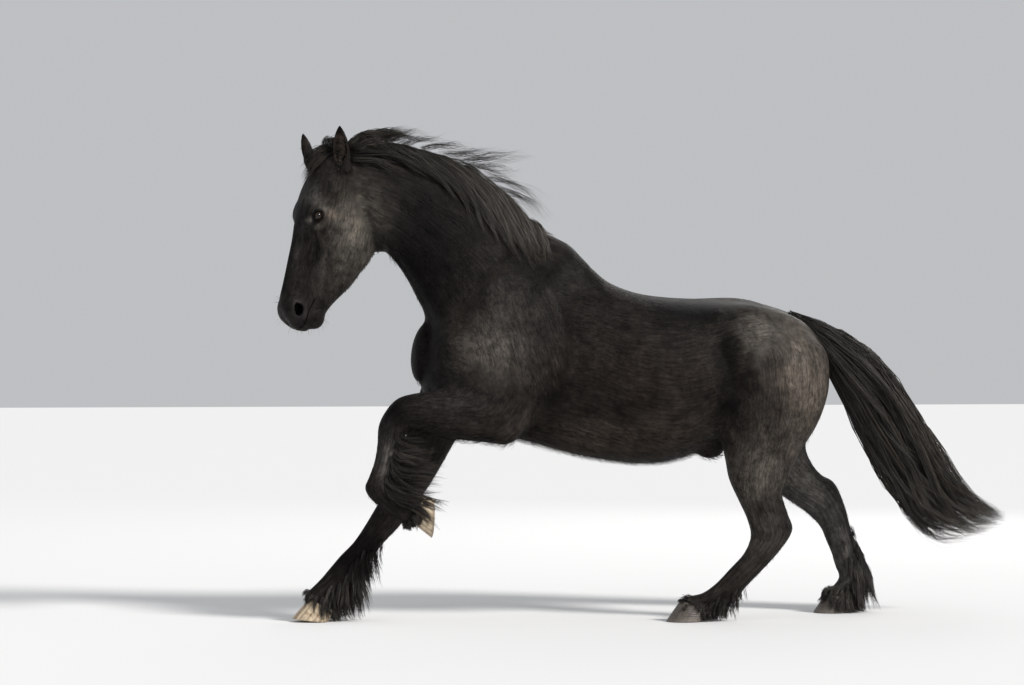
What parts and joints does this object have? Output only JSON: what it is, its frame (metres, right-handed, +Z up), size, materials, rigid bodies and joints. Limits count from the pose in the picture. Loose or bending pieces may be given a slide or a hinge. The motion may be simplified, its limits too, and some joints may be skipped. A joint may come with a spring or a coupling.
{
  "type": "friesian horse figure",
  "caption": "Life-size still figure of a black horse in canter, with thick mane and tail, feathered legs, one raised forehoof and the others on the floor.",
  "frame": {"origin": "middle of the whole animal's box, on the floor that the hooves rest on", "axes": "+Z up; -X is the way the animal faces, +X its tail; -Y is its left side, +Y its right side"},
  "size_m": [2.9165, 0.6511, 1.8884],
  "materials": {
    "coat": "short black hair with a soft sheen over skin",
    "long_hair": "long black hair, silky",
    "hoof_light": "pale mottled horn, matt",
    "hoof_dark": "dark slate horn, matt",
    "eye": "wet dark brown eye, gloss"
  },
  "bodies": {
    "root": {"head": "coat", "neck": "coat", "trunk": "coat", "ear_left": "coat", "ear_right": "coat", "eye_left": "eye", "eye_right": "eye", "fore_left_forearm": "coat", "fore_left_cannon": "coat", "fore_left_pastern": "coat", "fore_left_hoof": "hoof_light", "fore_right_forearm": "coat", "fore_right_cannon": "coat", "fore_right_pastern": "coat", "fore_right_hoof": "hoof_light", "hind_left_thigh": "coat", "hind_left_cannon": "coat", "hind_left_pastern": "coat", "hind_left_hoof": "hoof_dark", "hind_right_thigh": "coat", "hind_right_cannon": "coat", "hind_right_pastern": "coat", "hind_right_hoof": "hoof_dark", "mane": "long_hair", "forelock": "long_hair", "tail_upper": "long_hair", "tail_middle": "long_hair", "tail_tip": "long_hair"}
  },
  "joints": []
}
